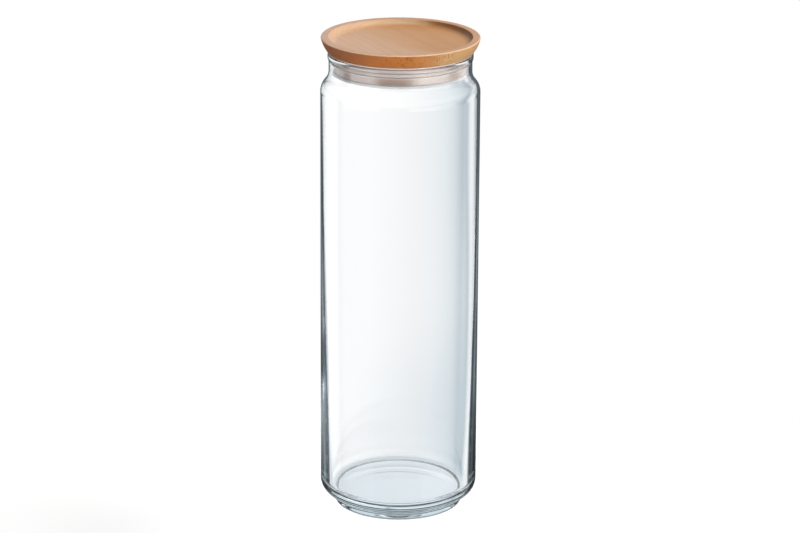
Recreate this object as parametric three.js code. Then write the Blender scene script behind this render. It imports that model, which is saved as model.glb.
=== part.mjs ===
// Tall glass storage jar with a turned wooden lid and a finned seal ring round the lid's plug.
// Millimetres, +Z up. The origin is the middle of the base, on the surface that the jar stands on.
import * as THREE from "three";

// Glass jar, outside
const bodyDiameter = 100;
const jarHeight = 297; // table to the top of the glass rim
const neckInset = 5.2; // how far the neck stands in from the body
const neckLength = 11.4; // end of the shoulder to the top of the rim
const shoulderBend = 9.2; // full bend from the body into the shoulder
const shoulderHollow = 10.8; // hollow bend from the shoulder into the neck
const rimBead = 0.7; // how far the rolled rim stands proud of the neck
const rimHeight = 5; // where the rolled rim starts, below its top
const rimBend = 2; // bends that lead from the neck out to the rolled rim
const heelBend = 9.1; // full bend from the body into the heel
const footHollow = 3; // hollow bend between the heel and the foot
const footHeight = 3.4; // table to the start of the hollow
const footCorner = 1.9; // rounding of the foot's outer edge

// Glass jar, inside and underneath
const bodyWall = 2; // wall under the shoulder
const heelWall = 5.6; // wall where it runs into the floor
const evenWall = 72; // how far below the shoulder the wall starts to thicken towards the heel
const neckWall = 2.2;
const floorThickness = 10.8; // glass in the middle of the base
const floorBend = 5.5; // inside bend from the floor into the wall
const bearingRing = 4; // width of the level ring that the jar stands on
const pushUp = 1; // height of the shallow dome under the base

// Wooden lid
const lidThickness = 9.1; // underside to rim
const lidInset = 0.3; // how far the lid's rim stays inside the line of the jar's body
const lidLedge = 0.2; // how far the lid's underside reaches past the glass rim
const lidSideSwell = 0.55; // how far the side swells out of a straight taper
const lidEdgeRound = 0.6; // rounding of the turned edges
const lidRimWidth = 4.4; // rim round the dished top
const dishDepth = 3.8;
const dishCove = 5.7; // hollow bend from the floor of the dish up to its rim
const plugLength = 12.4; // underside of the lid to the bottom of the plug
const plugChamfer = 0.8;
const grooveDrop = 8; // underside of the lid to the middle of the plug's groove
const grooveRadius = 1.5;

// Seal ring
const sealLength = 13.8; // underside of the lid to the bottom of the seal
const sealWall = 1.5;
const flangeThickness = 0.8; // flange between the lid and the glass rim
const flangeInset = 0.5; // how far the flange stays inside the glass rim
const finReach = 1.4; // how far fins and lip stand out of the sleeve
const finThickness = 0.8;
const finCount = 2;
const finPitch = 2.4;
const finDrop = 4.7; // underside of the lid to the middle of the top fin
const lipHeight = 2; // rounded lip round the bottom of the seal

// Fits
const fitGap = 0.3; // clearance between pieces that bear on each other
const stackGap = 0.6; // room round the foot of another jar in the dish

// Facets
const turnSegments = 48;
const arcSag = 0.08; // how far a facet of a profile may fall inside its arc
const samePoint = 1e-6; // points closer than this are one point

// Radii and heights that follow from the values above
const bodyRadius = bodyDiameter / 2;
const neckRadius = bodyRadius - neckInset;
const boreRadius = neckRadius - neckWall;
const rimRadius = neckRadius + rimBead;
const lidUnderZ = jarHeight + fitGap + flangeThickness;
const lidTopZ = lidUnderZ + lidThickness;
const lidUnderRadius = rimRadius + lidLedge;
const lidTopRadius = bodyRadius - lidInset;
const dishMouthRadius = lidTopRadius - lidRimWidth;
const dishTurn = Math.acos(1 - dishDepth / (lidEdgeRound + dishCove));
const dishFloorRadius = dishMouthRadius - (lidEdgeRound + dishCove) * Math.sin(dishTurn);
const footRadius = dishFloorRadius - stackGap + footCorner;
const finTipRadius = boreRadius - fitGap;
const sealOuterRadius = finTipRadius - finReach;
const sealInnerRadius = sealOuterRadius - sealWall;
const plugRadius = sealInnerRadius - fitGap;
const grooveZ = lidUnderZ - grooveDrop;

const quarter = Math.PI / 2;
const half = Math.PI;

function point(r, z) {
  return new THREE.Vector2(r, z);
}

// Points along an arc of a profile, given by its centre, its radius and the angles where it starts and ends
function arc(centreR, centreZ, radius, from, to) {
  const stepAngle = 2 * Math.acos(1 - arcSag / radius);
  const steps = Math.max(2, Math.ceil(Math.abs(to - from) / stepAngle));
  return Array.from({ length: steps + 1 }, (_, i) => {
    const angle = from + ((to - from) * i) / steps;
    return point(centreR + radius * Math.cos(angle), centreZ + radius * Math.sin(angle));
  });
}

// How far each of two opposite bends turns to carry an upright wall from one radius to another.
// Where the bends together are too small to reach that far, a level stretch joins them.
function bendTurn(fromR, toR, lowerBend, upperBend) {
  return Math.acos(Math.max(0, 1 - Math.abs(toR - fromR) / (lowerBend + upperBend)));
}

function bendHeight(fromR, toR, lowerBend, upperBend) {
  return (lowerBend + upperBend) * Math.sin(bendTurn(fromR, toR, lowerBend, upperBend));
}

// An upright wall that bends over and back again, from one radius at the bottom to another at the top
function doubleBend(fromR, toR, bottomZ, lowerBend, upperBend) {
  const turn = bendTurn(fromR, toR, lowerBend, upperBend);
  const topZ = bottomZ + bendHeight(fromR, toR, lowerBend, upperBend);
  if (toR > fromR) {
    return [
      ...arc(fromR + lowerBend, bottomZ, lowerBend, half, half - turn),
      ...arc(toR - upperBend, topZ, upperBend, -turn, 0),
    ];
  }
  return [
    ...arc(fromR - lowerBend, bottomZ, lowerBend, 0, turn),
    ...arc(toR + upperBend, topZ, upperBend, half + turn, half),
  ];
}

// A rounded ridge that stands out of a sleeve, such as a fin, a lip or the edge of a flange
function ridge(rootR, tipR, middleZ, thickness) {
  const round = thickness / 2;
  return [
    point(rootR, middleZ - round),
    ...arc(tipR - round, middleZ, round, -quarter, quarter),
    point(rootR, middleZ + round),
  ];
}

// Turns a profile round the Z axis and drops points that repeat the one before
function turned(name, profile, material) {
  const outline = profile.filter((p, i) => i === 0 || p.distanceTo(profile[i - 1]) > samePoint);
  const geometry = new THREE.LatheGeometry(outline, turnSegments);
  geometry.rotateX(quarter);
  const mesh = new THREE.Mesh(geometry, material);
  mesh.name = name;
  return mesh;
}

// Dome under the base, from the axis out to the inner edge of the bearing ring
function underside() {
  const edgeR = footRadius - footCorner - bearingRing;
  const domeRadius = (edgeR ** 2 + pushUp ** 2) / (2 * pushUp);
  const edgeAngle = Math.asin(edgeR / domeRadius);
  return arc(0, pushUp - domeRadius, domeRadius, quarter, quarter - edgeAngle);
}

// Inside of the wall, from the even upper stretch down through the thickening heel to the middle of the floor
function insideWall(evenZ) {
  const innerRadius = bodyRadius - bodyWall;
  const heelRadius = bodyRadius - heelWall;
  const floorZ = pushUp + floorThickness;
  const bendZ = floorZ + floorBend;
  const thicken = innerRadius - heelRadius;
  const drop = evenZ - bendZ;
  const sweep = (drop ** 2 + thicken ** 2) / (2 * thicken);
  return [
    ...arc(innerRadius - sweep, evenZ, sweep, 0, -Math.asin(drop / sweep)),
    ...arc(heelRadius - floorBend, bendZ, floorBend, 0, -quarter),
    point(0, floorZ),
  ];
}

function glassJar() {
  const lipRound = (rimRadius - boreRadius) / 2;
  const shoulderTopZ = jarHeight - neckLength;
  const shoulderZ = shoulderTopZ - bendHeight(bodyRadius, neckRadius, shoulderBend, shoulderHollow);
  const innerBend = shoulderBend - bodyWall;
  const innerHollow = shoulderHollow + neckWall;
  const outside = [
    ...underside(),
    ...arc(footRadius - footCorner, footCorner, footCorner, -quarter, 0),
    ...doubleBend(footRadius, bodyRadius, footHeight, footHollow, heelBend),
    ...doubleBend(bodyRadius, neckRadius, shoulderZ, shoulderBend, shoulderHollow),
    ...doubleBend(neckRadius, rimRadius, jarHeight - rimHeight, rimBend, rimBend),
  ];
  const rim = arc(boreRadius + lipRound, jarHeight - lipRound, lipRound, 0, half);
  const inside = [
    ...doubleBend(bodyRadius - bodyWall, boreRadius, shoulderZ, innerBend, innerHollow).reverse(),
    ...insideWall(shoulderZ - evenWall),
  ];
  const glass = new THREE.MeshStandardMaterial({
    color: 0xe8f1f2,
    roughness: 0.03,
    metalness: 0,
    transparent: true,
    opacity: 0.35,
  });
  return turned("glass_jar", [...outside, ...rim, ...inside], glass);
}

// Flared side of the lid: a long arc that runs tangent into the rounding of both edges
function lidSide() {
  const lower = point(lidUnderRadius - lidEdgeRound, lidUnderZ + lidEdgeRound);
  const upper = point(lidTopRadius - lidEdgeRound, lidTopZ - lidEdgeRound);
  const chord = upper.clone().sub(lower);
  const swellRadius = chord.lengthSq() / (8 * lidSideSwell) + lidSideSwell / 2;
  const outward = point(chord.y, -chord.x).normalize();
  const middle = lower.clone().add(upper).multiplyScalar(1 / 2);
  const centre = middle.addScaledVector(outward, lidSideSwell - swellRadius);
  const lowerAngle = lower.clone().sub(centre).angle();
  const upperAngle = upper.clone().sub(centre).angle();
  const fromAngle = lowerAngle > half ? lowerAngle - 2 * half : lowerAngle;
  const toAngle = upperAngle > half ? upperAngle - 2 * half : upperAngle;
  return [
    ...arc(lower.x, lower.y, lidEdgeRound, -quarter, fromAngle),
    ...arc(centre.x, centre.y, swellRadius + lidEdgeRound, fromAngle, toAngle),
    ...arc(upper.x, upper.y, lidEdgeRound, toAngle, quarter),
  ];
}

function woodenLid() {
  const plugZ = lidUnderZ - plugLength;
  const dishZ = lidTopZ - dishDepth;
  const plug = [
    point(0, plugZ),
    point(plugRadius - plugChamfer, plugZ),
    point(plugRadius, plugZ + plugChamfer),
    ...arc(plugRadius, grooveZ, grooveRadius, -quarter, -3 * quarter),
    point(plugRadius, lidUnderZ),
  ];
  const dish = [
    ...arc(dishMouthRadius, lidTopZ - lidEdgeRound, lidEdgeRound, quarter, quarter + dishTurn),
    ...arc(dishFloorRadius, dishZ + dishCove, dishCove, dishTurn - quarter, -quarter),
    point(0, dishZ),
  ];
  const beech = new THREE.MeshStandardMaterial({ color: 0xc8935f, roughness: 0.55, metalness: 0 });
  return turned("wooden_lid", [...plug, ...lidSide(), ...dish], beech);
}

function sealRing() {
  const bottomZ = lidUnderZ - sealLength;
  const beadRadius = grooveRadius - fitGap;
  const beadAngle = Math.acos(fitGap / beadRadius);
  const lip = ridge(sealOuterRadius, finTipRadius, bottomZ + lipHeight / 2, lipHeight);
  const fins = Array.from({ length: finCount }, (_, i) => {
    const finZ = lidUnderZ - finDrop - finPitch * (finCount - 1 - i);
    return ridge(sealOuterRadius, finTipRadius, finZ, finThickness);
  }).flat();
  const flangeZ = lidUnderZ - flangeThickness / 2;
  const flange = ridge(sealOuterRadius, rimRadius - flangeInset, flangeZ, flangeThickness);
  const bead = arc(plugRadius, grooveZ, beadRadius, beadAngle, 2 * half - beadAngle);
  const start = point(sealInnerRadius, bottomZ);
  const sleeve = [point(sealInnerRadius, lidUnderZ), ...bead, start.clone()];
  const moulded = new THREE.MeshStandardMaterial({
    color: 0xd9d4d0,
    roughness: 0.45,
    metalness: 0,
    transparent: true,
    opacity: 0.7,
  });
  return turned("seal_ring", [start, ...lip, ...fins, ...flange, ...sleeve], moulded);
}

const jar = new THREE.Group();
const lid = new THREE.Group();
lid.add(woodenLid(), sealRing());
jar.add(glassJar(), lid);

export default jar;
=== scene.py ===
import math
import bpy
from mathutils import Matrix, Vector


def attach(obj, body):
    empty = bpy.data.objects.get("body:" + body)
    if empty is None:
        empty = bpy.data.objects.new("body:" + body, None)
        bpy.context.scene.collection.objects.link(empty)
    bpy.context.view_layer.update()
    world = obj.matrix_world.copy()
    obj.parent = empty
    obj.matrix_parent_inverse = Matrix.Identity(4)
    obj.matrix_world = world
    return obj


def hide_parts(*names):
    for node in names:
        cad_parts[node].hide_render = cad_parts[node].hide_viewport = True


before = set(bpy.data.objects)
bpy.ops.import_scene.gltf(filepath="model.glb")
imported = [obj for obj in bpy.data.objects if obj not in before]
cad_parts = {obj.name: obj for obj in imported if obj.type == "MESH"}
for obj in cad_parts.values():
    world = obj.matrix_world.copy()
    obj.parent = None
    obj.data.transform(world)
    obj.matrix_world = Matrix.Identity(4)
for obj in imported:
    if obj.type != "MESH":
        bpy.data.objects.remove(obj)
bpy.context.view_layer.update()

mm = 0.001
quarter = math.pi / 2
half = math.pi
samePoint = 1e-6  # profile points closer than this, in millimetres, are one point
weldDistance = 1e-6  # the same for mesh points, in metres
sharpTurn = math.radians(35)  # edges that turn more than this are shaded sharp
white = (1.0, 1.0, 1.0, 1.0)
print("storage jar: packed frame loaded")


# small helpers for node trees
def newNode(tree, kind, inputs=None, **settings):
    node = tree.nodes.new(kind)
    for name, value in settings.items():
        setattr(node, name, value)
    for key, value in (inputs or {}).items():
        socket = node.inputs[key]
        if isinstance(value, bpy.types.NodeSocket):
            tree.links.new(value, socket)
        else:
            socket.default_value = value
    return node


def calc(tree, operation, *values):
    return newNode(tree, "ShaderNodeMath", dict(enumerate(values)), operation=operation).outputs[0]


def times(tree, first, second):
    return calc(tree, "MULTIPLY", first, second)


def hypot(tree, first, second):
    squares = calc(tree, "ADD", calc(tree, "POWER", first, 2.0), calc(tree, "POWER", second, 2.0))
    return calc(tree, "SQRT", squares)


def stretched(tree, vector, scales):
    return newNode(tree, "ShaderNodeVectorMath", {0: vector, 1: scales}, operation="MULTIPLY").outputs[0]


def axes(tree, vector):
    return newNode(tree, "ShaderNodeSeparateXYZ", {0: vector}).outputs


def noise(tree, vector, scale, detail=2.0, roughness=0.5):
    return newNode(
        tree,
        "ShaderNodeTexNoise",
        {"Vector": vector, "Scale": scale, "Detail": detail, "Roughness": roughness, "Distortion": 0.0},
    ).outputs["Fac"]


def spread(tree, value, low, high, toLow=0.0, toHigh=1.0, smooth=True):
    node = newNode(
        tree,
        "ShaderNodeMapRange",
        {"Value": value, "From Min": low, "From Max": high, "To Min": toLow, "To Max": toHigh},
        interpolation_type="SMOOTHSTEP" if smooth else "LINEAR",
    )
    return node.outputs["Result"]


def between(tree, value, start, full, stay, stop):
    return times(tree, spread(tree, value, start, full), spread(tree, value, stop, stay))


def blendColour(tree, factor, first, second, mode="MIX"):
    node = newNode(tree, "ShaderNodeMix", data_type="RGBA", blend_type=mode)
    for socket, value in ((node.inputs[0], factor), (node.inputs[6], first), (node.inputs[7], second)):
        if isinstance(value, bpy.types.NodeSocket):
            tree.links.new(value, socket)
        else:
            socket.default_value = value
    return node.outputs[2]


def blendShader(tree, factor, first, second):
    return newNode(tree, "ShaderNodeMixShader", {0: factor, 1: first.outputs[0], 2: second.outputs[0]})


def freshMaterial(name):
    material = bpy.data.materials.new(name)
    material.use_nodes = True
    material.node_tree.nodes.clear()
    return material, material.node_tree


def rgb(red, green, blue):
    # a colour as a screen shows it, 0 to 255, turned into linear light
    def linear(v):
        v = v / 255
        return v / 12.92 if v <= 0.04045 else ((v + 0.055) / 1.055) ** 2.4

    return (linear(red), linear(green), linear(blue), 1.0)


# profiles are lists of (radius, height) in millimetres, walked so that the material lies on the left
def arcRun(centreR, centreZ, radius, start, end, stepDegrees=4.0):
    steps = max(3, math.ceil(math.degrees(abs(end - start)) / stepDegrees))
    angles = [start + (end - start) * i / steps for i in range(steps + 1)]
    return [(centreR + radius * math.cos(a), centreZ + radius * math.sin(a)) for a in angles]


def bendTurn(fromR, toR, lowerBend, upperBend):
    return math.acos(max(0.0, 1 - abs(toR - fromR) / (lowerBend + upperBend)))


def bendHeight(fromR, toR, lowerBend, upperBend):
    return (lowerBend + upperBend) * math.sin(bendTurn(fromR, toR, lowerBend, upperBend))


def doubleBend(fromR, toR, bottomZ, lowerBend, upperBend):
    turn = bendTurn(fromR, toR, lowerBend, upperBend)
    topZ = bottomZ + bendHeight(fromR, toR, lowerBend, upperBend)
    if toR > fromR:
        lower = arcRun(fromR + lowerBend, bottomZ, lowerBend, half, half - turn)
        return lower + arcRun(toR - upperBend, topZ, upperBend, -turn, 0)
    lower = arcRun(fromR - lowerBend, bottomZ, lowerBend, 0, turn)
    return lower + arcRun(toR + upperBend, topZ, upperBend, half + turn, half)


def ridge(rootR, tipR, middleZ, thickness):
    tipRound = thickness / 2
    tip = arcRun(tipR - tipRound, middleZ, tipRound, -quarter, quarter, 15)
    return [(rootR, middleZ - tipRound)] + tip + [(rootR, middleZ + tipRound)]


def joinRuns(runs, spacing, guard=0.25):
    # straight stretches get points close to both ends, so that the bends shade cleanly
    points = []
    for run in runs:
        for number, place in enumerate(run):
            if not points:
                points.append(place)
                continue
            last = points[-1]
            gap = math.dist(last, place)
            if gap < samePoint:
                continue
            if number == 0 and gap > 4 * guard:
                inner = gap - 2 * guard
                cuts = max(1, math.ceil(inner / spacing))
                ways = [(guard + inner * i / cuts) / gap for i in range(cuts + 1)]
                stepR = place[0] - last[0]
                stepZ = place[1] - last[1]
                points += [(last[0] + stepR * w, last[1] + stepZ * w) for w in ways]
            points.append(place)
    return points


# a node group that turns a profile round the upright axis, with a slight ripple where the profile asks for it
def turningTree():
    tree = bpy.data.node_groups.new("turn_round_axis", "GeometryNodeTree")
    face = tree.interface
    face.new_socket("Geometry", in_out="OUTPUT", socket_type="NodeSocketGeometry")
    face.new_socket("Profile", in_out="INPUT", socket_type="NodeSocketGeometry")
    for name, kind in (
        ("Turn Steps", "NodeSocketInt"),
        ("Ripple Height", "NodeSocketFloat"),
        ("Ripple Scale", "NodeSocketFloat"),
        ("Ripple Stretch", "NodeSocketFloat"),
        ("Sharp Angle", "NodeSocketFloat"),
        ("Finish", "NodeSocketMaterial"),
    ):
        face.new_socket(name, in_out="INPUT", socket_type=kind)
    given = newNode(tree, "NodeGroupInput").outputs
    count = newNode(
        tree, "GeometryNodeAttributeDomainSize", {"Geometry": given["Profile"]}, component="MESH"
    ).outputs["Point Count"]
    columns = calc(tree, "ADD", given["Turn Steps"], 1.0)
    grid = newNode(
        tree,
        "GeometryNodeMeshGrid",
        {"Size X": 1.0, "Size Y": 1.0, "Vertices X": columns, "Vertices Y": count},
    )
    index = newNode(tree, "GeometryNodeInputIndex").outputs[0]
    along = calc(tree, "FLOORED_MODULO", index, count)  # number of the profile point
    column = calc(tree, "FLOOR", calc(tree, "DIVIDE", calc(tree, "ADD", index, 0.5), count))
    angle = times(tree, calc(tree, "DIVIDE", column, given["Turn Steps"]), 2 * half)

    def profileValue(dataType, value):
        sample = newNode(
            tree,
            "GeometryNodeSampleIndex",
            {"Geometry": given["Profile"], "Value": value, "Index": along},
            data_type=dataType,
            domain="POINT",
        )
        return sample.outputs[0]

    place = axes(tree, profileValue("FLOAT_VECTOR", newNode(tree, "GeometryNodeInputPosition").outputs[0]))
    asked = newNode(tree, "GeometryNodeInputNamedAttribute", {"Name": "ripple"}, data_type="FLOAT")
    weight = profileValue("FLOAT", asked.outputs[0])
    east = calc(tree, "COSINE", angle)
    north = calc(tree, "SINE", angle)
    onCircle = newNode(
        tree,
        "ShaderNodeCombineXYZ",
        {
            0: times(tree, place[0], east),
            1: times(tree, place[0], north),
            2: times(tree, place[2], given["Ripple Stretch"]),
        },
    ).outputs[0]
    wave = noise(tree, onCircle, given["Ripple Scale"], 1.0)
    swing = times(tree, calc(tree, "SUBTRACT", wave, 0.5), given["Ripple Height"])
    radius = calc(tree, "ADD", place[0], times(tree, swing, weight))
    turned = newNode(
        tree,
        "ShaderNodeCombineXYZ",
        {0: times(tree, radius, east), 1: times(tree, radius, north), 2: place[2]},
    ).outputs[0]
    skin = newNode(tree, "GeometryNodeSetPosition", {"Geometry": grid.outputs["Mesh"], "Position": turned})
    closed = newNode(
        tree, "GeometryNodeMergeByDistance", {"Geometry": skin.outputs[0], "Distance": weldDistance}
    )
    smooth = newNode(
        tree,
        "GeometryNodeSetShadeSmooth",
        {"Geometry": closed.outputs[0], "Shade Smooth": True},
        domain="FACE",
    )
    edge = newNode(tree, "GeometryNodeInputMeshEdgeAngle").outputs["Unsigned Angle"]
    sharp = newNode(
        tree,
        "FunctionNodeCompare",
        {0: edge, 1: given["Sharp Angle"]},
        data_type="FLOAT",
        operation="GREATER_THAN",
    ).outputs[0]
    crisp = newNode(
        tree,
        "GeometryNodeSetShadeSmooth",
        {"Geometry": smooth.outputs[0], "Selection": sharp, "Shade Smooth": False},
        domain="EDGE",
    )
    whole = newNode(tree, "GeometryNodeRealizeInstances", {"Geometry": crisp.outputs[0]})
    dressed = newNode(
        tree, "GeometryNodeSetMaterial", {"Geometry": whole.outputs[0], "Material": given["Finish"]}
    )
    newNode(tree, "NodeGroupOutput", {0: dressed.outputs[0]})
    return tree


turnTree = turningTree()


def turnPiece(name, profile, finish, v, ripple=None):
    mesh = bpy.data.meshes.new(name + "_profile")
    mesh.from_pydata([(r * mm, 0, z * mm) for r, z in profile], [], [])
    weights = mesh.attributes.new("ripple", "FLOAT", "POINT")
    for number, place in enumerate(profile):
        weights.data[number].value = ripple(place) if ripple else 0.0
    piece = bpy.data.objects.new(name, mesh)
    bpy.context.scene.collection.objects.link(piece)
    turn = piece.modifiers.new("turn", "NODES")
    turn.node_group = turnTree
    values = {
        "Turn Steps": v["turnSteps"],
        "Ripple Height": v.get("rippleHeight", 0.0) * mm,
        "Ripple Scale": v.get("rippleScale", 1.0),
        "Ripple Stretch": v.get("rippleStretch", 1.0),
        "Sharp Angle": sharpTurn,
        "Finish": finish,
    }
    for item in turnTree.interface.items_tree:
        if item.in_out == "INPUT" and item.name in values:
            turn[item.identifier] = values[item.name]
    graph = bpy.context.evaluated_depsgraph_get()
    solid = bpy.data.meshes.new_from_object(piece.evaluated_get(graph), depsgraph=graph)
    piece.modifiers.remove(turn)
    piece.data = solid
    solid.name = name
    bpy.data.meshes.remove(mesh)
    print("storage jar:", name, len(solid.polygons), "faces")
    return piece


# the glass jar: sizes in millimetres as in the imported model
jarValues = {
    "bodyRadius": 50.0,
    "height": 297.0,
    "neckRadius": 44.8,
    "neckLength": 11.4,
    "shoulderBend": 9.2,
    "shoulderHollow": 10.8,
    "rimRadius": 45.5,
    "rimHeight": 5.0,
    "rimBend": 2.0,
    "footRadius": 40.817,
    "heelBend": 9.1,
    "footHollow": 3.0,
    "footHeight": 3.4,
    "footCorner": 1.9,
    "bodyWall": 2.0,
    "heelWall": 5.6,
    "evenWall": 72.0,
    "neckWall": 2.2,
    "floorThickness": 10.8,
    "floorBend": 5.5,
    "bearingRing": 4.0,
    "pushUp": 1.0,
    "outerSpacing": 6.0,  # points along the straight runs
    "innerSpacing": 4.5,
    "turnSteps": 264,
    "rippleHeight": 0.05,  # slight unevenness of the inside of blown glass
    "rippleScale": 16.0,
    "rippleStretch": 0.35,
    "rippleBelow": 262.0,  # it fades out under the shoulder
    "rippleFade": 25.0,
    "rippleFrom": 40.0,  # and from the wall to the floor
    "rippleEase": 5.0,
    "refraction": 1.5,
    "tint": (0.80, 0.91, 0.93, 1.0),
    "tintDensity": 12.0,
    "shadowTint": (0.955, 0.965, 0.968, 1.0),
    "streakScale": 30.0,  # long faint streaks in the surface
    "streakStretch": (1.0, 1.0, 0.25),
    "fineScale": 260.0,
    "lumpStrength": 0.02,
    "lumpDepth": 0.0004,
    "filmScale": 38.0,  # patches of a faint film
    "filmRoughness": 0.018,
}


def jarProfile(v):
    body, neck, rimR, foot = v["bodyRadius"], v["neckRadius"], v["rimRadius"], v["footRadius"]
    bore = neck - v["neckWall"]
    domeEdge = foot - v["footCorner"] - v["bearingRing"]
    domeRadius = (domeEdge ** 2 + v["pushUp"] ** 2) / (2 * v["pushUp"])
    domeTurn = math.asin(domeEdge / domeRadius)
    shoulderZ = v["height"] - v["neckLength"] - bendHeight(body, neck, v["shoulderBend"], v["shoulderHollow"])
    outside = [
        arcRun(0, v["pushUp"] - domeRadius, domeRadius, quarter, quarter - domeTurn, 0.8),
        arcRun(foot - v["footCorner"], v["footCorner"], v["footCorner"], -quarter, 0, 6),
        doubleBend(foot, body, v["footHeight"], v["footHollow"], v["heelBend"]),
        doubleBend(body, neck, shoulderZ, v["shoulderBend"], v["shoulderHollow"]),
        doubleBend(neck, rimR, v["height"] - v["rimHeight"], v["rimBend"], v["rimBend"]),
    ]
    lip = (rimR - bore) / 2
    rim = [arcRun(bore + lip, v["height"] - lip, lip, 0, half, 8)]
    innerR = body - v["bodyWall"]
    heelR = body - v["heelWall"]
    floorZ = v["pushUp"] + v["floorThickness"]
    bendZ = floorZ + v["floorBend"]
    evenZ = shoulderZ - v["evenWall"]
    thicken = innerR - heelR
    drop = evenZ - bendZ
    sweep = (drop ** 2 + thicken ** 2) / (2 * thicken)
    innerBend = v["shoulderBend"] - v["bodyWall"]
    innerHollow = v["shoulderHollow"] + v["neckWall"]
    inside = [
        doubleBend(innerR, bore, shoulderZ, innerBend, innerHollow)[::-1],
        arcRun(innerR - sweep, evenZ, sweep, 0, -math.asin(drop / sweep), 0.04),
        arcRun(heelR - v["floorBend"], bendZ, v["floorBend"], 0, -quarter),
        [(0, floorZ)],
    ]
    outer = joinRuns(outside + rim, v["outerSpacing"])
    return joinRuns([outer] + inside, v["innerSpacing"]), len(outer)


def clearGlass(v):
    material, tree = freshMaterial("clear_glass")
    place = newNode(tree, "ShaderNodeTexCoord").outputs["Object"]
    streak = noise(tree, stretched(tree, place, v["streakStretch"]), v["streakScale"], 2.0)
    fine = noise(tree, place, v["fineScale"], 2.0)
    lumps = calc(tree, "ADD", times(tree, streak, 0.8), times(tree, fine, 0.2))
    bump = newNode(
        tree, "ShaderNodeBump", {"Strength": v["lumpStrength"], "Distance": v["lumpDepth"], "Height": lumps}
    )
    film = spread(tree, noise(tree, place, v["filmScale"], 3.0), 0.45, 0.75, 0.0, v["filmRoughness"])
    glass = newNode(
        tree,
        "ShaderNodeBsdfPrincipled",
        {
            "Base Color": white,
            "Roughness": film,
            "IOR": v["refraction"],
            "Transmission Weight": 1.0,
            "Normal": bump.outputs[0],
        },
    )
    passing = newNode(tree, "ShaderNodeBsdfTransparent", {"Color": v["shadowTint"]})
    path = newNode(tree, "ShaderNodeLightPath").outputs
    soft = calc(tree, "MAXIMUM", path["Is Shadow Ray"], path["Is Diffuse Ray"])
    mix = blendShader(tree, soft, glass, passing)
    tint = newNode(tree, "ShaderNodeVolumeAbsorption", {"Color": v["tint"], "Density": v["tintDensity"]})
    newNode(tree, "ShaderNodeOutputMaterial", {"Surface": mix.outputs[0], "Volume": tint.outputs[0]})
    return material


jarOutline, outerCount = jarProfile(jarValues)
innerPlaces = set(jarOutline[outerCount:])


def jarRipple(place):
    # only the inside of the wall is uneven
    if place not in innerPlaces:
        return 0.0
    below = min(1.0, max(0.0, (jarValues["rippleBelow"] - place[1]) / jarValues["rippleFade"]))
    beside = min(1.0, max(0.0, (place[0] - jarValues["rippleFrom"]) / jarValues["rippleEase"]))
    return below * beside


glassJar = turnPiece("glass_jar_clear", jarOutline, clearGlass(jarValues), jarValues, jarRipple)

# the wooden lid
lidValues = {
    "underZ": 298.1,
    "topZ": 307.2,
    "underRadius": 45.7,
    "topRadius": 49.7,
    "sideSwell": 0.55,
    "edgeRound": 0.6,
    "rimWidth": 4.4,
    "dishDepth": 3.8,
    "dishCove": 5.7,
    "plugLength": 12.4,
    "plugRadius": 39.1,
    "plugChamfer": 0.8,
    "grooveDrop": 8.0,
    "grooveRadius": 1.5,
    "spacing": 3.0,  # points along the straight runs
    "guard": 0.12,
    "turnSteps": 256,
    "grainTurn": 62.0,  # degrees that the grain is turned from the X axis
    "boardLevel": 300.0,
    "pithAcross": 26.0,  # where the heart of the log lies beside and below the lid, in millimetres
    "pithBelow": -95.0,
    "pithWander": 14.0,
    "yearWidth": 2.3,
    "cloudDrift": 40.0,  # how far the colours wander across the grain
    "sheenPaleWood": rgb(211, 174, 144),  # the wood's own colour, paled on the left by a painted sheen
    "warmWood": rgb(195, 145, 97),  # the wood's own warmer colour, on the right
    "redWood": rgb(166, 100, 54),
    "paintedLightCove": rgb(219, 186, 152),  # painted light on the wall of the dish
    "paintedShadeCove": rgb(136, 84, 44),  # and painted shade on the wall towards the right and back-right
    "rimWood": rgb(194, 160, 146),
    "edgeWood": rgb(169, 102, 44),  # the turned side soaks up more oil
    "edgeGold": rgb(189, 148, 99),
    "edgeRed": rgb(140, 84, 48),
    "rubbedHighlightWood": rgb(232, 194, 156),  # the rim's outer edge, rubbed pale and with a painted highlight
    "fleckWood": rgb(98, 54, 26),
    # where the colours change, in millimetres across the grain
    "sheenToWarm": (-34.0, 24.0),
    "paintedLightReach": (-34.0, 0.0, 24.0, 34.0),
    "paintedShadeReach": (30.0, 42.0),
    "redToBrown": (-50.0, -24.0),
    "brownToGold": (-20.0, 8.0),
    "fleckReach": (-34.0, -28.0, 8.0, 18.0),
    # how each pattern is stretched along and across the grain, per millimetre
    "wanderGrain": (0.012, 0.05, 0.05),
    "fibreGrain": (0.05, 2.2, 2.2),
    "cloudGrain": (0.02, 0.045, 0.045),
    "rayGrain": (0.3, 1.5, 0.3),
    "clusterGrain": (0.03, 0.16, 0.1),
    "poreGrain": (0.5, 7.0, 7.0),
    # how much of each pattern shows
    "rimStrength": 0.4,
    "paintedShadeStrength": 0.7,
    "ringStrength": 0.10,
    "fibreStrength": 0.16,
    "poreStrength": 0.2,
    "fleckStrength": 0.85,
    "rubHighlightStrength": 0.6,
    "bumpStrength": 0.25,
    "bumpDepth": 0.00012,
    "satin": 0.46,
    "satinSwing": 0.22,
}


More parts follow.
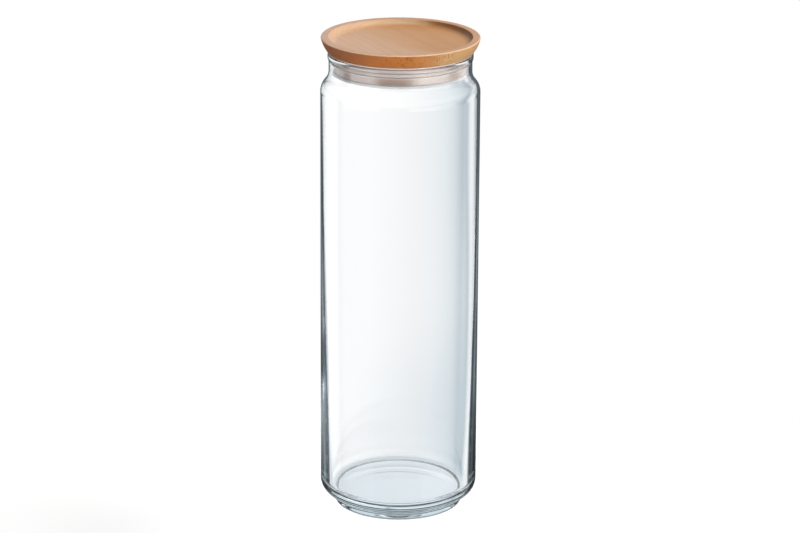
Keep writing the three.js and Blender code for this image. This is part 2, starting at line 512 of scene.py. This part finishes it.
def lidProfile(v):
    grooveZ = v["underZ"] - v["grooveDrop"]
    plugZ = v["underZ"] - v["plugLength"]
    dishZ = v["topZ"] - v["dishDepth"]
    mouth = v["topRadius"] - v["rimWidth"]
    cove = v["dishCove"]
    edge = v["edgeRound"]
    dishTurn = math.acos(1 - v["dishDepth"] / (edge + cove))
    dishFloor = mouth - (edge + cove) * math.sin(dishTurn)
    lower = Vector((v["underRadius"] - edge, v["underZ"] + edge))
    upper = Vector((v["topRadius"] - edge, v["topZ"] - edge))
    chord = upper - lower
    swellRadius = chord.length_squared / (8 * v["sideSwell"]) + v["sideSwell"] / 2
    outward = Vector((chord.y, -chord.x)).normalized()
    centre = (lower + upper) / 2 + outward * (v["sideSwell"] - swellRadius)
    lowAngle = math.atan2(lower.y - centre.y, lower.x - centre.x)
    highAngle = math.atan2(upper.y - centre.y, upper.x - centre.x)
    runs = [
        [(0, plugZ)],
        [(v["plugRadius"] - v["plugChamfer"], plugZ)],
        [(v["plugRadius"], plugZ + v["plugChamfer"])],
        arcRun(v["plugRadius"], grooveZ, v["grooveRadius"], -quarter, -3 * quarter, 12),
        [(v["plugRadius"], v["underZ"])],
        arcRun(lower.x, lower.y, edge, -quarter, lowAngle, 12),
        arcRun(centre.x, centre.y, swellRadius + edge, lowAngle, highAngle, 3),
        arcRun(upper.x, upper.y, edge, highAngle, quarter, 12),
        arcRun(mouth, v["topZ"] - edge, edge, quarter, quarter + dishTurn, 8),
        arcRun(dishFloor, dishZ + cove, cove, dishTurn - quarter, -quarter, 4),
        [(0, dishZ)],
    ]
    return joinRuns(runs, v["spacing"], v["guard"])


def turnedBeech(v):
    material, tree = freshMaterial("turned_beech")
    toMillimetres = newNode(
        tree,
        "ShaderNodeVectorMath",
        {0: newNode(tree, "ShaderNodeTexCoord").outputs["Object"], "Scale": 1 / mm},
        operation="SCALE",
    )
    place = toMillimetres.outputs[0]
    turn = (0.0, 0.0, math.radians(v["grainTurn"]))
    board = newNode(tree, "ShaderNodeMapping", {"Vector": place, "Rotation": turn}).outputs[0]

    def grainNoise(stretch, detail, roughness=0.5):
        return noise(tree, stretched(tree, board, v[stretch]), 1.0, detail, roughness)

    split = axes(tree, board)
    wander = times(tree, grainNoise("wanderGrain", 2.0), v["pithWander"])
    across = calc(tree, "ADD", calc(tree, "SUBTRACT", split[1], v["pithAcross"]), wander)
    height = calc(tree, "SUBTRACT", split[2], v["boardLevel"] + v["pithBelow"])
    years = calc(tree, "FRACT", calc(tree, "DIVIDE", hypot(tree, across, height), v["yearWidth"]))
    ring = spread(tree, years, 0.55, 1.0)  # each year ends in a darker band
    fibre = grainNoise("fibreGrain", 3.0, 0.6)
    cloud = calc(tree, "SUBTRACT", grainNoise("cloudGrain", 3.0, 0.55), 0.5)
    drift = calc(tree, "ADD", split[1], times(tree, cloud, v["cloudDrift"]))

    # the side shows the ends of the fibres: darker, with clusters of short ray flecks
    upright = axes(tree, newNode(tree, "ShaderNodeNewGeometry").outputs["Normal"])[2]
    side = spread(tree, upright, 0.35, 0.05)
    rays = newNode(
        tree,
        "ShaderNodeTexVoronoi",
        {"Vector": stretched(tree, board, v["rayGrain"]), "Scale": 1.0, "Randomness": 1.0},
        feature="F1",
        distance="EUCLIDEAN",
    )
    chosen = newNode(tree, "ShaderNodeSeparateColor", {0: rays.outputs["Color"]}).outputs[0]
    cluster = spread(tree, grainNoise("clusterGrain", 1.0), 0.36, 0.48)
    cluster = times(tree, cluster, between(tree, split[1], *v["fleckReach"]))
    keep = times(tree, spread(tree, chosen, 0.34, 0.42), times(tree, cluster, side))
    fleck = times(tree, spread(tree, rays.outputs["Distance"], 0.38, 0.24), keep)
    pore = spread(tree, grainNoise("poreGrain", 1.0), 0.62, 0.74)

    # the top: a painted sheen that pales it towards the left, the rim, and painted light and shade on the
    # wall of the dish
    spot = axes(tree, place)
    outward = hypot(tree, spot[0], spot[1])
    mouth = v["topRadius"] - v["rimWidth"]
    wall = times(tree, spread(tree, upright, 0.95, 0.65), spread(tree, outward, mouth + 1.0, mouth))
    wall = times(tree, wall, spread(tree, upright, 0.0, 0.2))  # not the underside
    rim = times(tree, spread(tree, outward, mouth - 0.4, mouth + 0.4), v["rimStrength"])
    # painted light and painted shade on the steep wall of the dish, by where it lies across the board
    paintedLightWall = times(tree, wall, between(tree, drift, *v["paintedLightReach"]))
    paintedShadeWall = times(tree, wall, spread(tree, drift, *v["paintedShadeReach"], 0.0, v["paintedShadeStrength"]))
    # painted sheen: the top is paler towards the left of the board
    flat = blendColour(tree, spread(tree, drift, *v["sheenToWarm"]), v["sheenPaleWood"], v["warmWood"])
    flat = blendColour(tree, rim, flat, v["rimWood"])
    flat = blendColour(tree, paintedLightWall, flat, v["paintedLightCove"])
    flat = blendColour(tree, paintedShadeWall, flat, v["paintedShadeCove"])
    turned = blendColour(tree, spread(tree, drift, *v["redToBrown"]), v["edgeRed"], v["edgeWood"])
    turned = blendColour(tree, spread(tree, drift, *v["brownToGold"]), turned, v["edgeGold"])
    base = blendColour(tree, side, flat, turned)
    base = blendColour(tree, times(tree, ring, v["ringStrength"]), base, v["redWood"])
    fibreShade = times(tree, spread(tree, fibre, 0.45, 0.75), v["fibreStrength"])
    base = blendColour(tree, fibreShade, base, v["redWood"])
    base = blendColour(tree, times(tree, pore, v["poreStrength"]), base, v["fleckWood"])
    base = blendColour(tree, times(tree, fleck, v["fleckStrength"]), base, v["fleckWood"])
    # wear and a painted highlight along the top outer edge
    rubAndHighlight = times(
        tree,
        spread(tree, outward, v["topRadius"] - 1.0, v["topRadius"] - 0.3),
        spread(tree, spot[2], v["topZ"] - 0.9, v["topZ"] - 0.4),
    )
    base = blendColour(tree, times(tree, rubAndHighlight, v["rubHighlightStrength"]), base, v["rubbedHighlightWood"])
    dents = calc(tree, "ADD", times(tree, pore, 0.5), times(tree, fleck, 0.3))
    relief = calc(tree, "SUBTRACT", times(tree, fibre, 0.6), dents)
    bump = newNode(
        tree, "ShaderNodeBump", {"Strength": v["bumpStrength"], "Distance": v["bumpDepth"], "Height": relief}
    )
    swing = times(tree, calc(tree, "SUBTRACT", fibre, 0.5), v["satinSwing"])
    wood = newNode(
        tree,
        "ShaderNodeBsdfPrincipled",
        {
            "Base Color": base,
            "Roughness": calc(tree, "ADD", v["satin"], swing),
            "IOR": 1.5,
            "Specular IOR Level": 0.28,
            "Normal": bump.outputs[0],
        },
    )
    newNode(tree, "ShaderNodeOutputMaterial", {"Surface": wood.outputs[0]})
    return material


woodenLid = turnPiece("wooden_lid_beech", lidProfile(lidValues), turnedBeech(lidValues), lidValues)

# the seal ring round the plug
sealValues = {
    "underZ": 298.1,
    "length": 13.8,
    "outerRadius": 40.9,
    "innerRadius": 39.4,
    "tipRadius": 42.3,
    "flangeRadius": 45.0,
    "flangeThickness": 0.8,
    "finThickness": 0.8,
    "finDrops": (7.1, 4.7),
    "lipHeight": 2.0,
    "beadRadius": 1.2,
    "beadCentre": 39.1,
    "grooveDrop": 8.0,
    "spacing": 1.0,  # points along the straight runs
    "guard": 0.08,
    "turnSteps": 256,
    "hazeScale": 120.0,
    "grainScale": 1800.0,
    "grainStrength": 0.15,
    "grainDepth": 0.0001,
    "milky": rgb(211, 193, 185),
    "cloudy": rgb(205, 178, 167),
    "finPaintedLight": rgb(224, 214, 209),  # painted light: the fins are paler, as if more light passed through them
    "finLevels": (0.2896, 0.2906),  # these levels and stretches are in metres
    "finStrength": 0.85,
    "lipColour": rgb(220, 220, 219),  # below the plug, where no wood shows through
    "lipLevels": (0.2868, 0.286),
    "frontDepth": (-0.010, -0.025),
    "woodBehind": rgb(170, 146, 133),  # where a darker streak of the plug shows through, at the front
    "woodStretch": (-0.019, -0.012, 0.001, 0.013),
    "woodLevels": (0.2925, 0.2885),
    "woodStrength": (0.15, 0.95),
    # painted light: a paler patch on the front of the seal, over the shade of the fins
    "paintedLightBeside": rgb(243, 231, 225),
    "paintedLightStretch": (0.006, 0.015, 0.025, 0.032),
    "paintedLightStrength": 0.7,
}


def sealProfile(v):
    under, outer, tip = v["underZ"], v["outerRadius"], v["tipRadius"]
    flange = v["flangeThickness"]
    bottom = under - v["length"]
    beadTurn = math.acos((v["innerRadius"] - v["beadCentre"]) / v["beadRadius"])
    fins = [ridge(outer, tip, under - drop, v["finThickness"]) for drop in v["finDrops"]]
    runs = [
        [(v["innerRadius"], bottom)],
        ridge(outer, tip, bottom + v["lipHeight"] / 2, v["lipHeight"]),
        *fins,
        ridge(outer, v["flangeRadius"], under - flange / 2, flange),
        [(v["innerRadius"], under)],
        arcRun(v["beadCentre"], under - v["grooveDrop"], v["beadRadius"], beadTurn, 2 * half - beadTurn, 15),
        [(v["innerRadius"], bottom)],
    ]
    return joinRuns(runs, v["spacing"], v["guard"])


def frostedSeal(v):
    material, tree = freshMaterial("frosted_seal")
    place = newNode(tree, "ShaderNodeTexCoord").outputs["Object"]
    haze = noise(tree, place, v["hazeScale"], 3.0)
    grain = noise(tree, place, v["grainScale"], 2.0)
    split = axes(tree, place)
    height = split[2]
    colour = blendColour(tree, spread(tree, haze, 0.35, 0.65), v["milky"], v["cloudy"])
    # painted light on the fins and flange
    fins = spread(tree, height, *v["finLevels"], 0.0, v["finStrength"])
    colour = blendColour(tree, fins, colour, v["finPaintedLight"])
    front = spread(tree, split[1], *v["frontDepth"])
    behind = times(tree, between(tree, split[0], *v["woodStretch"]), front)
    behind = times(tree, behind, spread(tree, height, *v["woodLevels"], *v["woodStrength"]))
    colour = blendColour(tree, behind, colour, v["woodBehind"])
    # painted light on the front of the seal, beside the middle
    pale = times(tree, between(tree, split[0], *v["paintedLightStretch"]), front)
    colour = blendColour(tree, times(tree, pale, v["paintedLightStrength"]), colour, v["paintedLightBeside"])
    colour = blendColour(tree, spread(tree, height, *v["lipLevels"]), colour, v["lipColour"])
    bump = newNode(
        tree, "ShaderNodeBump", {"Strength": v["grainStrength"], "Distance": v["grainDepth"], "Height": grain}
    )
    seal = newNode(
        tree,
        "ShaderNodeBsdfPrincipled",
        {
            "Base Color": colour,
            "Roughness": spread(tree, haze, 0.3, 0.7, 0.34, 0.46),
            "IOR": 1.42,
            "Transmission Weight": 0.15,
            "Normal": bump.outputs[0],
        },
    )
    newNode(tree, "ShaderNodeOutputMaterial", {"Surface": seal.outputs[0]})
    return material


sealRing = turnPiece("seal_ring_frosted", sealProfile(sealValues), frostedSeal(sealValues), sealValues)

for piece, body, node, slot in (
    (glassJar, "jar", "glass_jar", "clear_glass"),
    (woodenLid, "lid", "wooden_lid", "beech_wood"),
    (sealRing, "lid", "seal_ring", "translucent_seal"),
):
    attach(piece, body)
    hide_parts(node)
print("storage jar: pieces ride on their bodies")

# table top and studio; directions are degrees round the jar from the back, and rise in degrees
studioValues = {
    "tableDrop": 0.0003,
    "tableSize": 8.0,
    "tableColour": (0.86, 0.86, 0.86, 1.0),
    "glow": 0.42,  # what the table shows the camera on top of the light that falls on it
    "fadeFrom": 0.10,  # distance from the jar where the table starts to turn pure white
    "fadeTo": 0.32,
    "underJar": (0.76, 0.82, 0.86, 1.0),  # the table as it shows through the floor of the jar
    "footShade": (0.62, 0.68, 0.71, 1.0),  # the ring in the shade of the heel
    "footRing": (0.0405, 0.0445),
    "lightBehind": (0.85, 0.91, 0.95, 1.0),  # light that the heel gathers behind the foot
    "behindRing": (0.030, 0.033, 0.0375, 0.0395),
    "behindDepth": (0.0, 0.02),
    "heelShade": (0.12, 0.15, 0.17, 1.0),
    "heelBeside": (0.022, 0.042),
    "heelStrength": 0.65,
    "tableEnds": (0.05, 0.062),  # where the glass stops showing the table and shows the panels
    "roomLight": 0.12,
    # eight white panels round the table: degrees from the middle of each, and what shows there
    "panelHalf": 22.5,
    "panelStops": (
        (-22.5, (0.95, 0.965, 0.975, 1.0)),
        (-14.0, (1.0, 1.0, 1.0, 1.0)),
        (0.5, (1.0, 1.0, 1.0, 1.0)),
        (1.1, (0.94, 0.96, 0.98, 1.0)),
        (2.4, (0.82, 0.87, 0.90, 1.0)),
        (4.0, (0.61, 0.69, 0.74, 1.0)),
        (5.7, (0.35, 0.44, 0.48, 1.0)),
        (7.2, (0.80, 0.85, 0.91, 1.0)),
        (8.6, (0.92, 0.94, 0.98, 1.0)),
        (22.5, (0.95, 0.965, 0.975, 1.0)),
    ),
    "fanFrom": -16.0,  # below this rise the panels fan out
    "fanDepth": 8.0,
    "fanSlope": 0.05,
    "fanCurve": 0.021,
    "lowShade": (0.88, 0.91, 0.93, 1.0),  # panels towards the table
    "lowRise": (-19.0, -22.5),
    "lowAcross": (-2.5, 1.5),
    "overhead": (0.74, 0.79, 0.82, 1.0),
    "overheadRise": (12.0, 24.0),
    # dark cards beside the panels, mirrored inside the wall: rise, and where the card ends
    "rightCard": (
        (-25, 39), (-24, 37.3), (-23, 35.8), (-22, 35.5), (-21, 34),
        (-20, 32), (-18, 33), (-16.5, 38), (-15, 42),
    ),
    "rightEdge": (-3.0, 3.0),
    "rightLimit": (78.0, 68.0),
    "leftCard": (
        (-25, -41), (-24.3, -42), (-23, -46), (-22, -45), (-21, -42),
        (-20, -39), (-18, -33), (-16, -26), (-15.3, -24), (-14.6, -16),
    ),
    "leftEdge": (2.0, -4.0),
    "leftLimit": (-80.0, -70.0),
    # a paler strip along the near side of each card: rise, and how light it is there
    "rightSheen": (
        (-25, 0.14), (-24, 0.16), (-22.9, 0.5), (-21.8, 0.45), (-21, 0.35),
        (-20, 0.75), (-18.5, 0.5), (-17, 0.3), (-16, 0.12),
    ),
    "rightStrip": (-8.0, -18.0),
    "rightHalf": (0.0, 4.0),
    "leftSheen": (
        (-26, 0.5), (-25.2, 0.45), (-24.9, 0.3), (-24.3, 0.25), (-23.8, 0.4),
        (-23.3, 0.9), (-22.9, 0.4), (-22.4, 0.2), (-21.8, 0.18), (-21.2, 0.5),
        (-20, 0.7), (-18.5, 0.35), (-17, 0.2), (-16, 0.14),
    ),
    "leftStrip": (6.0, 26.0),
    "leftHalf": (0.0, -4.0),
    "cardDark": (0.014, 0.027, 0.040, 1.0),
    "shadeLight": (0.80, 0.93, 1.0, 1.0),  # light that is left in the shade of the cards
    "lit": (0.97, 0.99, 1.0, 1.0),
    "glint": (0.30, 0.33, 0.35, 1.0),  # long streaks in the cards, low down
    "glintRise": (-22.0, -24.0),
    "glintStrength": 0.7,
    "leftBox": (2.2, 2.3, 2.4, 1.0),  # a small soft box mirrored on the left edge
    "boxRise": (-23.9, -23.4, -23.2, -22.9),
    "boxAcross": (20.0, 36.0),
    "floorStrip": (-1.0, 3.0, 14.0, 19.0),  # draws the dark line along the front of the floor
    "aboveCards": (0.74, 0.81, 0.85, 1.0),
    "aboveRise": (15.0, 21.0),
    # what the outside of the glass mirrors: rise, and how light it is there
    "skinBoth": ((-24, 0.06), (-21, 0.10), (-20.5, 0.16), (-20, 0.25), (-19, 0.2), (-18, 0.14), (-15, 0.12)),
    "skinLeft": (
        (-23, 0.06), (-21.3, 0.25), (-20.8, 0.55), (-20.2, 1.0), (-19.8, 0.6),
        (-19.5, 0.2), (-18.6, 0.25), (-16, 0.2), (-14.6, 0.35),
    ),
    "skinLeftReach": (-80.0, -70.0, -14.0, -8.0),
    "farLeft": (-80.0, -70.0, -54.0, -46.0),
    "farLeftRise": (-21.2, -19.6),
    "farRight": (44.0, 52.0, 68.0, 78.0),
    "skinDark": (0.0, 0.004, 0.008, 1.0),
    "skinFront": (0.14, 0.16, 0.18, 1.0),
    "frontFrom": (132.0, 158.0),
    "skinBeside": (0.60, 0.63, 0.66, 1.0),
    "besideFrom": (84.0, 94.0),
    "skyRise": (3.0, 12.0),
    "veilLeft": (2.6, 2.68, 2.76, 1.0),  # front panels that show as a pale veil on the neck
    "veilLeftReach": (-154.0, -140.0, -96.0, -90.0),
    "veilRight": (1.9, 2.0, 2.1, 1.0),
    "veilRightReach": (92.0, 98.0, 158.0, 172.0),
    "veilRise": (-15.3, -14.9),
    "mirrorLeft": (0.60, 0.63, 0.66, 1.0),
    "mirrorRight": (1.5, 1.55, 1.6, 1.0),  # a bright soft box in front on the right
}


def panelRamp(tree, folded, v):
    reach = v["panelHalf"]
    ramp = newNode(tree, "ShaderNodeValToRGB", {0: spread(tree, folded, -reach, reach, smooth=False)})
    steps = ramp.color_ramp.elements
    while len(steps) < len(v["panelStops"]):
        steps.new(0.5)
    for step, (degrees, colour) in zip(steps, v["panelStops"]):
        step.position = (degrees + reach) / (2 * reach)
        step.color = colour
    return ramp.outputs[0]


def drawnLine(tree, value, dots):
    # reads a value off straight lines drawn between dots
    lowX, highX = dots[0][0], dots[-1][0]
    lowY, highY = min(y for x, y in dots), max(y for x, y in dots)
    places = [((x - lowX) / (highX - lowX), (y - lowY) / (highY - lowY)) for x, y in dots]
    node = newNode(tree, "ShaderNodeFloatCurve", {"Value": spread(tree, value, lowX, highX, smooth=False)})
    line = node.mapping.curves[0].points
    line[0].location, line[1].location = places[0], places[-1]
    for spot in places[1:-1]:
        line.new(*spot)
    for dot in line:
        dot.handle_type = "VECTOR"
    node.mapping.update()
    return spread(tree, node.outputs[0], 0.0, 1.0, lowY, highY, smooth=False)


def studioWorld(v):
    world = bpy.data.worlds.new("studio")
    bpy.context.scene.world = world
    world.use_nodes = True
    tree = world.node_tree
    tree.nodes.clear()
    way = axes(tree, newNode(tree, "ShaderNodeTexCoord").outputs["Generated"])
    azimuth = times(tree, calc(tree, "ARCTAN2", way[0], way[1]), 180 / half)
    rise = times(tree, calc(tree, "ARCSINE", way[2]), 180 / half)
    path = newNode(tree, "ShaderNodeLightPath").outputs
    mirroredOnce = calc(tree, "GREATER_THAN", path["Glossy Depth"], 0.5)
    mirroredAgain = calc(tree, "GREATER_THAN", path["Glossy Depth"], 1.5)
    crossed = path["Transmission Depth"]

    # straight through the jar: white panels that fan out towards the table
    below = calc(tree, "MAXIMUM", calc(tree, "SUBTRACT", v["fanFrom"], rise), 0.0)
    below = calc(tree, "MINIMUM", below, v["fanDepth"])
    slope = calc(tree, "ADD", v["fanSlope"], times(tree, below, v["fanCurve"]))
    fan = calc(tree, "ADD", 1.0, times(tree, below, slope))
    folded = calc(tree, "DIVIDE", calc(tree, "WRAP", azimuth, v["panelHalf"], -v["panelHalf"]), fan)
    panels = panelRamp(tree, folded, v)
    low = times(tree, spread(tree, rise, *v["lowRise"]), spread(tree, folded, *v["lowAcross"]))
    panels = blendColour(tree, 1.0, panels, blendColour(tree, low, white, v["lowShade"]), "MULTIPLY")
    panels = blendColour(tree, spread(tree, rise, *v["overheadRise"]), panels, v["overhead"])

    # mirrored inside the wall: dark cards on both sides, light beyond them
    pastRight = calc(tree, "SUBTRACT", azimuth, drawnLine(tree, rise, v["rightCard"]))
    pastLeft = calc(tree, "SUBTRACT", azimuth, drawnLine(tree, rise, v["leftCard"]))
    onRight = spread(tree, azimuth, *v["rightHalf"])
    onLeft = spread(tree, azimuth, *v["leftHalf"])
    openRight = times(tree, spread(tree, pastRight, *v["rightEdge"]), spread(tree, azimuth, *v["rightLimit"]))
    openLeft = times(tree, spread(tree, pastLeft, *v["leftEdge"]), spread(tree, azimuth, *v["leftLimit"]))
    nearLeft = times(tree, spread(tree, pastLeft, *v["leftStrip"]), onLeft)
    nearRight = times(tree, spread(tree, pastRight, *v["rightStrip"]), onRight)
    sheenLeft = times(tree, nearLeft, drawnLine(tree, rise, v["leftSheen"]))
    sheenRight = times(tree, nearRight, drawnLine(tree, rise, v["rightSheen"]))
    edge = blendColour(tree, calc(tree, "ADD", sheenLeft, sheenRight), v["cardDark"], v["shadeLight"])
    sweep = newNode(
        tree, "ShaderNodeCombineXYZ", {0: times(tree, azimuth, 0.2), 1: times(tree, rise, 3.0)}
    ).outputs[0]
    streak = spread(tree, noise(tree, sweep, 1.0, 1.0), 0.58, 0.70)
    streak = times(tree, streak, spread(tree, rise, *v["glintRise"], 0.0, v["glintStrength"]))
    edge = blendColour(tree, streak, edge, v["glint"])
    box = times(tree, between(tree, rise, *v["boxRise"]), spread(tree, pastLeft, *v["boxAcross"]))
    edge = blendColour(tree, times(tree, box, onLeft), edge, v["leftBox"])
    edge = blendColour(tree, calc(tree, "MAXIMUM", openRight, openLeft), edge, v["lit"])
    strip = blendColour(tree, mirroredAgain, v["cardDark"], v["glint"])
    edge = blendColour(tree, between(tree, rise, *v["floorStrip"]), edge, strip)
    edge = blendColour(tree, spread(tree, rise, *v["aboveRise"]), edge, v["aboveCards"])

    # mirrored off the outside
    dim = drawnLine(tree, rise, v["skinBoth"])
    dimLeft = times(tree, drawnLine(tree, rise, v["skinLeft"]), between(tree, azimuth, *v["skinLeftReach"]))
    farLeft = between(tree, azimuth, *v["farLeft"])
    farLeft = times(tree, farLeft, spread(tree, rise, *v["farLeftRise"], 0.4, 1.0))
    farRight = between(tree, azimuth, *v["farRight"])
    skin = blendColour(tree, calc(tree, "MAXIMUM", dim, dimLeft), v["skinDark"], v["shadeLight"])
    skin = blendColour(tree, calc(tree, "MAXIMUM", farLeft, farRight), skin, v["lit"])
    away = calc(tree, "ABSOLUTE", azimuth)
    skin = blendColour(tree, spread(tree, away, *v["besideFrom"]), skin, v["skinBeside"])
    skin = blendColour(tree, spread(tree, away, *v["frontFrom"]), skin, v["skinFront"])
    veilLeft = between(tree, azimuth, *v["veilLeftReach"])
    veilRight = between(tree, azimuth, *v["veilRightReach"])
    veil = times(tree, calc(tree, "ADD", veilLeft, veilRight), spread(tree, rise, *v["veilRise"]))
    neck = blendColour(tree, spread(tree, way[0], -0.2, 0.2), v["veilLeft"], v["veilRight"])
    skin = blendColour(tree, veil, skin, neck)
    skin = blendColour(tree, spread(tree, rise, *v["skyRise"]), skin, white)

    # mirrored by the far wall
    inner = blendColour(tree, spread(tree, way[0], -0.6, 0.6), v["mirrorLeft"], v["mirrorRight"])

    mirrored = blendColour(tree, calc(tree, "GREATER_THAN", crossed, 0.5), skin, edge)
    mirrored = blendColour(tree, calc(tree, "GREATER_THAN", crossed, 2.5), mirrored, inner)
    seen = blendColour(tree, mirroredOnce, panels, mirrored)
    room = (v["roomLight"], v["roomLight"], v["roomLight"], 1.0)
    throughGlass = calc(tree, "MAXIMUM", path["Is Glossy Ray"], path["Is Transmission Ray"])
    colour = blendColour(tree, throughGlass, room, seen)
    colour = blendColour(tree, path["Is Camera Ray"], colour, white)
    light = newNode(tree, "ShaderNodeBackground", {"Color": colour, "Strength": 1.0})
    newNode(tree, "ShaderNodeOutputWorld", {0: light.outputs[0]})


def tableTop(v):
    material, tree = freshMaterial("white_table")
    place = newNode(tree, "ShaderNodeTexCoord").outputs["Object"]
    far = newNode(tree, "ShaderNodeVectorMath", {0: place}, operation="LENGTH").outputs["Value"]
    mottle = spread(tree, noise(tree, place, 60.0, 3.0), 0.3, 0.7, 0.99, 1.01)
    colour = blendColour(tree, 1.0, v["tableColour"], mottle, "MULTIPLY")
    matt = newNode(tree, "ShaderNodeBsdfDiffuse", {"Color": colour})
    path = newNode(tree, "ShaderNodeLightPath").outputs
    glow = newNode(tree, "ShaderNodeEmission", {"Strength": times(tree, path["Is Camera Ray"], v["glow"])})
    near = newNode(tree, "ShaderNodeAddShader", {0: matt.outputs[0], 1: glow.outputs[0]})
    pure = newNode(tree, "ShaderNodeEmission", {"Strength": 1.0})
    fade = times(tree, path["Is Camera Ray"], spread(tree, far, v["fadeFrom"], v["fadeTo"]))
    shown = blendShader(tree, fade, near, pure)

    # seen through the glass, the table shows under the jar and gives way to the panels round it
    split = axes(tree, place)
    ring = blendColour(tree, spread(tree, far, *v["footRing"]), v["underJar"], v["footShade"])
    behind = times(tree, between(tree, far, *v["behindRing"]), spread(tree, split[1], *v["behindDepth"]))
    ring = blendColour(tree, behind, ring, v["lightBehind"])
    beside = spread(tree, calc(tree, "ABSOLUTE", split[0]), *v["heelBeside"])
    streak = spread(tree, noise(tree, place, 160.0, 1.0), 0.32, 0.6)
    shade = times(tree, times(tree, beside, streak), v["heelStrength"])
    heel = blendColour(tree, shade, v["underJar"], v["heelShade"])
    mirroredOnce = calc(tree, "GREATER_THAN", path["Glossy Depth"], 0.5)
    under = blendColour(tree, mirroredOnce, ring, heel)
    # painted light: seen through the glass, the table glows with these colours instead of being lit
    beneath = newNode(tree, "ShaderNodeEmission", {"Color": under, "Strength": 1.0})
    beyond = newNode(tree, "ShaderNodeBsdfTransparent")
    refracted = blendShader(tree, spread(tree, far, *v["tableEnds"]), beneath, beyond)
    throughGlass = calc(tree, "MAXIMUM", path["Is Glossy Ray"], path["Is Transmission Ray"])
    mix = blendShader(tree, throughGlass, shown, refracted)
    newNode(tree, "ShaderNodeOutputMaterial", {"Surface": mix.outputs[0]})
    mesh = bpy.data.meshes.new("table_top")
    reach = v["tableSize"] / 2
    corners = [(x * reach, y * reach, -v["tableDrop"]) for x, y in ((-1, -1), (1, -1), (1, 1), (-1, 1))]
    mesh.from_pydata(corners, [], [(0, 1, 2, 3)])
    mesh.materials.append(material)
    table = bpy.data.objects.new("table_top", mesh)
    bpy.context.scene.collection.objects.link(table)


studioWorld(studioValues)
tableTop(studioValues)

# soft boxes that light the wood and the seal; the glass shows the studio instead
lampValues = {
    # name: place, point aimed at, width and height in metres, watts, colour
    "right_box": ((0.94, 0.28, 1.56), (0, 0, 0.3), (0.6, 0.6), 24.5, (1.0, 0.98, 0.96)),
    # low, so it only grazes the dish
    "front_box": ((0.5, -1.1, 0.40), (0, 0, 0.28), (0.5, 0.3), 10.0, (1.0, 0.99, 0.98)),
    # below the lid, so they stay out of the dish
    "left_box": ((-1.0, -0.8, 0.12), (0, 0, 0.28), (0.5, 0.3), 4.5, (1.0, 1.0, 1.0)),
    "back_box": ((-0.55, 1.15, 0.14), (0, 0, 0.28), (0.6, 0.3), 7.5, (1.0, 1.0, 1.0)),
}
for lampName, (spot, aim, size, watts, colour) in lampValues.items():
    lamp = bpy.data.lights.new(lampName, "AREA")
    lamp.shape = "RECTANGLE"
    lamp.size, lamp.size_y = size
    lamp.energy = watts
    lamp.color = colour
    lampObject = bpy.data.objects.new(lampName, lamp)
    lampObject.location = spot
    lampObject.rotation_euler = (Vector(aim) - Vector(spot)).to_track_quat("-Z", "Y").to_euler()
    lampObject.visible_camera = False
    lampObject.visible_transmission = False
    lampObject.visible_glossy = False
    bpy.context.scene.collection.objects.link(lampObject)

# camera at the photograph's angle
cameraValues = {
    "place": (0.0004, -2.1, 0.832),
    "pitch": 17.82,  # degrees below level
    "roll": 0.33,
    "focalPixels": 3478.0,
    "frameWidth": 800.0,
    "sensor": 36.0,
}
cameraData = bpy.data.cameras.new("photo_camera")
cameraData.sensor_width = cameraValues["sensor"]
cameraData.lens = cameraValues["focalPixels"] / cameraValues["frameWidth"] * cameraValues["sensor"]
camera = bpy.data.objects.new("photo_camera", cameraData)
camera.matrix_world = (
    Matrix.Translation(cameraValues["place"])
    @ Matrix.Rotation(math.radians(90 - cameraValues["pitch"]), 4, "X")
    @ Matrix.Rotation(math.radians(cameraValues["roll"]), 4, "Z")
)
bpy.context.scene.collection.objects.link(camera)
bpy.context.scene.camera = camera
bpy.context.scene.view_settings.view_transform = "Standard"
print("storage jar: table, lamps and camera set")
